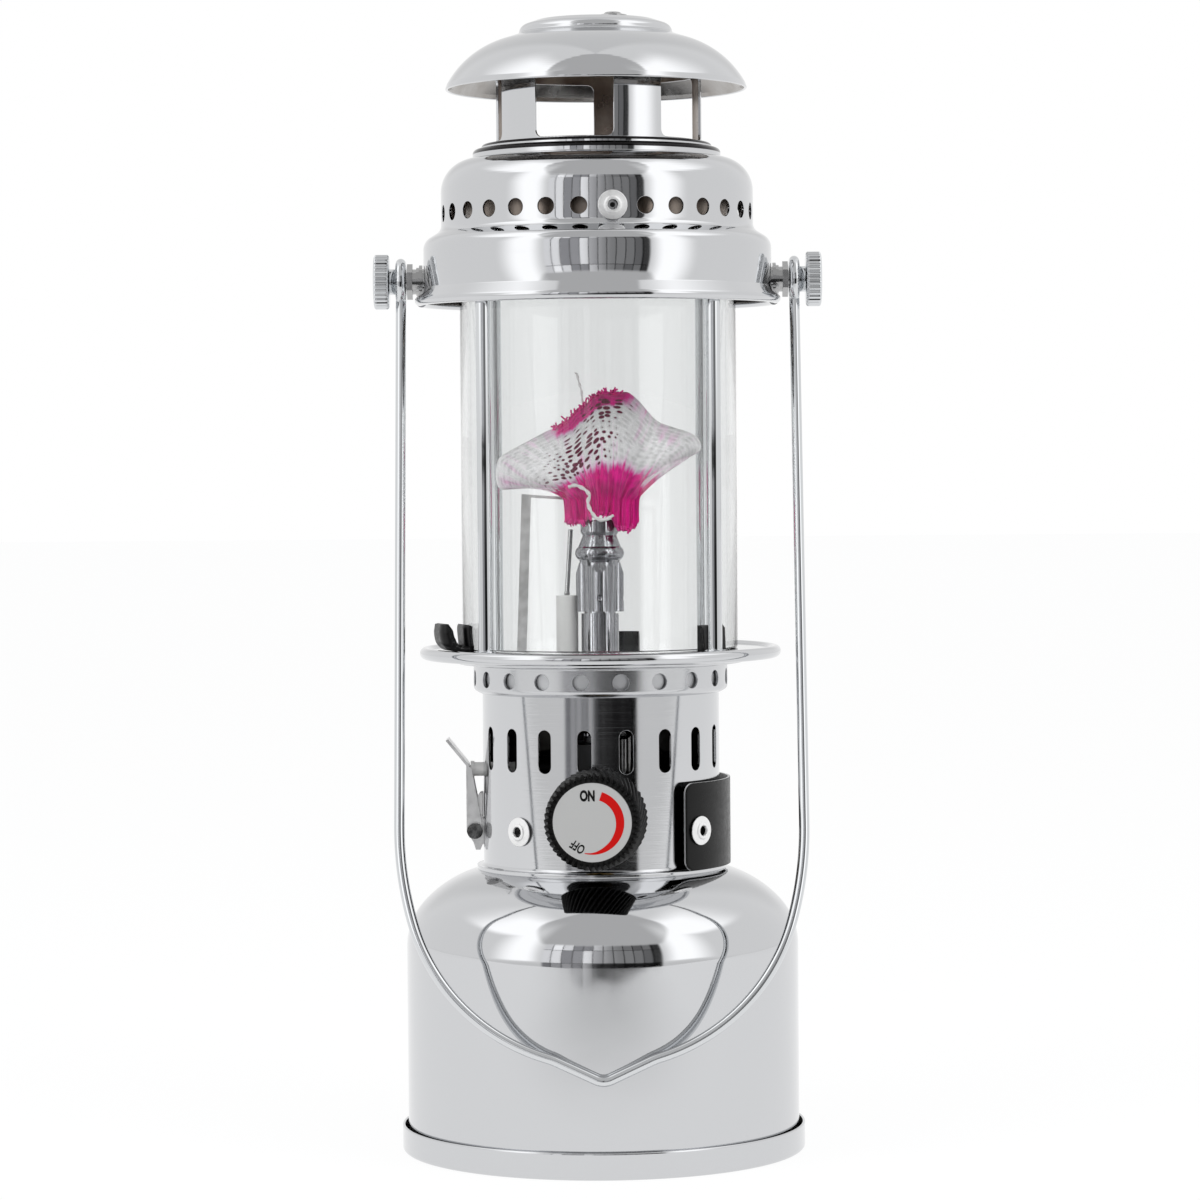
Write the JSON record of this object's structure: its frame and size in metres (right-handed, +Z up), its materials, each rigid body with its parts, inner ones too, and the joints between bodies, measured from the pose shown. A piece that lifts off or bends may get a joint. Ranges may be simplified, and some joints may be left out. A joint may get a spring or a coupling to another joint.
{
  "type": "gas lantern",
  "caption": "Portable gas mantle lantern: chromed domed drum over a gas cartridge, slotted burner housing with a thumb lever, glass globe in a post cage, vented hood, cap and wire bail",
  "frame": {"origin": "centre of the resting face of the base cover", "axes": "+Z up along the lantern's axis, -Y to the viewer and the control knob, X along the axis of the two bail pivots"},
  "size_m": [0.1296, 0.119, 0.3299],
  "materials": {
    "chrome_sheet": "bright chrome plate on pressed steel",
    "brushed_chrome": "chrome plate over circumferential brushing",
    "plain_steel": "plain zinc plated steel",
    "heated_steel": "heat tinted steel",
    "cast_metal": "grey die casting",
    "painted_can": "painted can",
    "brass": "turned brass",
    "seal_rubber": "moulded rubber",
    "black_plastic": "moulded, satin",
    "dial_plastic": "light grey, matt",
    "black_paint": "black paint on steel",
    "mantle_cloth": "knit mantle cloth",
    "ceramic": "white, unglazed",
    "lead_insulation": "flexible insulation",
    "clear_glass": "clear drawn tube",
    "rivet_aluminium": "blind rivet heads"
  },
  "bodies": {
    "base": {"base_cover": "chrome_sheet"},
    "lamp": {"drum_shell": "chrome_sheet", "gas_cartridge": "painted_can", "cartridge_valve": "brass", "regulator_collar": "cast_metal", "regulator_seal": "seal_rubber", "valve_block": "cast_metal", "valve_gland": "brass", "gas_jet": "brass", "bleed_tube": "plain_steel", "mixing_tube": "plain_steel", "mantle_holder": "heated_steel", "gas_mantle": "mantle_cloth", "mantle_string": "mantle_cloth", "ceramic_insulator": "ceramic", "electrode_wire": "heated_steel", "spark_bracket": "plain_steel", "burner_housing": "brushed_chrome", "carrier_ring": "plain_steel", "vent_collar": "chrome_sheet", "air_baffle": "plain_steel", "gallery": "chrome_sheet", "post_1": "chrome_sheet", "post_2": "chrome_sheet", "post_3": "chrome_sheet", "post_4": "chrome_sheet", "cage_ring": "chrome_sheet", "glass_globe": "clear_glass", "glass_clip_1": "black_paint", "glass_clip_2": "black_paint", "glass_clip_3": "black_paint", "stud_left": "plain_steel", "stud_right": "plain_steel", "stud_washers": "plain_steel", "stud_nuts": "plain_steel", "nameplate": "black_paint", "nameplate_rivets": "rivet_aluminium", "housing_rivets": "rivet_aluminium", "igniter_bracket": "plain_steel", "igniter_pin": "plain_steel", "piezo_igniter": "black_plastic", "igniter_lead": "lead_insulation"},
    "hood": {"hood_shell": "chrome_sheet", "inner_chimney": "heated_steel", "hood_rivets": "rivet_aluminium", "crown_cup": "chrome_sheet", "crown_plate": "chrome_sheet", "cap": "chrome_sheet", "cap_rivet": "rivet_aluminium"},
    "bail": {"bail": "chrome_sheet"},
    "knob": {"control_knob": "black_plastic", "knob_dial": "dial_plastic", "valve_spindle": "brass"},
    "lever": {"igniter_lever": "chrome_sheet"},
    "plunger": {"igniter_plunger": "ceramic"},
    "nut_left": {"thumb_nut_left": "chrome_sheet"},
    "nut_right": {"thumb_nut_right": "chrome_sheet"}
  },
  "joints": [
    {"name": "lamp_off_base", "type": "slide", "parent": "base", "child": "lamp", "axis": [0, 0, 1], "range_m": [0, 0.03]},
    {"name": "hood_off", "type": "slide", "parent": "lamp", "child": "hood", "axis": [0, 0, 1], "range_m": [0, 0.04]},
    {"name": "bail_swing", "type": "hinge", "parent": "lamp", "child": "bail", "pos_m": [0, 0, 0.25243], "axis": [-1, 0, 0], "range_deg": [0, 330.6]},
    {"name": "control_knob", "type": "hinge", "parent": "lamp", "child": "knob", "pos_m": [0.0027, 0, 0.09933], "axis": [-0.1045, -0.9945, 0], "range_deg": [-270, 0]},
    {"name": "igniter_lever", "type": "hinge", "parent": "lamp", "child": "lever", "pos_m": [-0.0368, 0, 0.09313], "axis": [0, 1, 0], "range_deg": [0, 10.3], "stiffness_Nm_per_rad": 0.4},
    {"name": "igniter_plunger", "type": "slide", "parent": "lamp", "child": "plunger", "axis": [1, 0, 0], "range_m": [0, 0.0032]},
    {"name": "thumb_nut_left", "type": "hinge", "parent": "lamp", "child": "nut_left", "pos_m": [-0.0626, 0, 0.25243], "axis": [-1, 0, 0], "continuous": true},
    {"name": "thumb_nut_right", "type": "hinge", "parent": "lamp", "child": "nut_right", "pos_m": [0.0626, 0, 0.25243], "axis": [1, 0, 0], "continuous": true}
  ],
  "couplings": [
    {"joint": "igniter_plunger", "follows": "igniter_lever", "m_per_rad": 0.0178}
  ]
}
